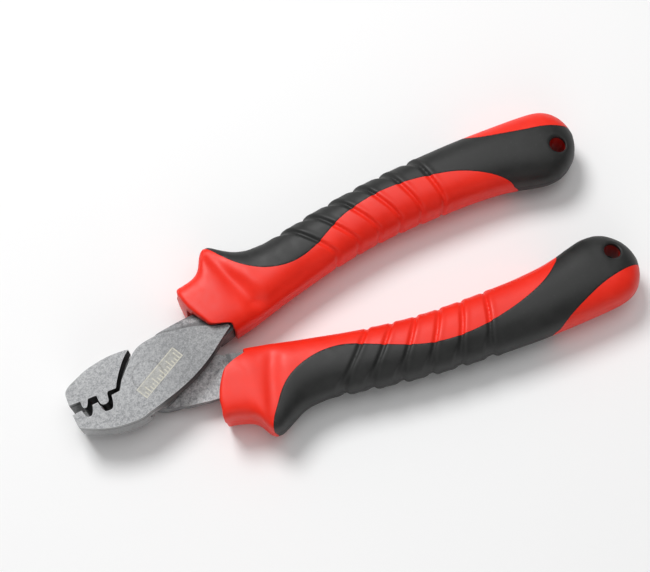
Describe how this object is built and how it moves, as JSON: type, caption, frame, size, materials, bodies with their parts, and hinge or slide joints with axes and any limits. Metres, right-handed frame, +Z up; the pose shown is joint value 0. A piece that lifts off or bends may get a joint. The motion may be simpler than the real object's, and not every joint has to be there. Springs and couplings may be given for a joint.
{
  "type": "crimping pliers",
  "caption": "Hand pliers for crimping cable terminals: a lap-jointed head with toothed and pocketed jaws, and two bowed two-tone grips with a hanging hole.",
  "frame": {"origin": "on the pivot axis, in the lower flat face of the head", "axes": "+X from the pivot toward the handles, with the jaws at -X; +Y toward the handle of half A; +Z up along the rivet, out of the upper flat face of the head"},
  "size_m": [0.1503, 0.0592, 0.0148],
  "materials": {
    "forged_steel": "satin, fine blasted grey",
    "rivet_steel": "ground flush, satin",
    "grip_red": "semi-gloss hard plastic, orange red",
    "grip_black": "matt soft thermoplastic rubber, charcoal"
  },
  "bodies": {
    "half_a": {"forged_half_a": "forged_steel", "pivot_rivet": "rivet_steel", "grip_core_a": "grip_red", "grip_skin_a": "grip_black"},
    "half_b": {"forged_half_b": "forged_steel", "grip_core_b": "grip_red", "grip_skin_b": "grip_black"}
  },
  "joints": [
    {"name": "pivot", "type": "hinge", "parent": "half_a", "child": "half_b", "pos_m": [0, 0, 0.005], "axis": [0, 0, 1], "range_deg": [-24.5, 7.3]}
  ]
}
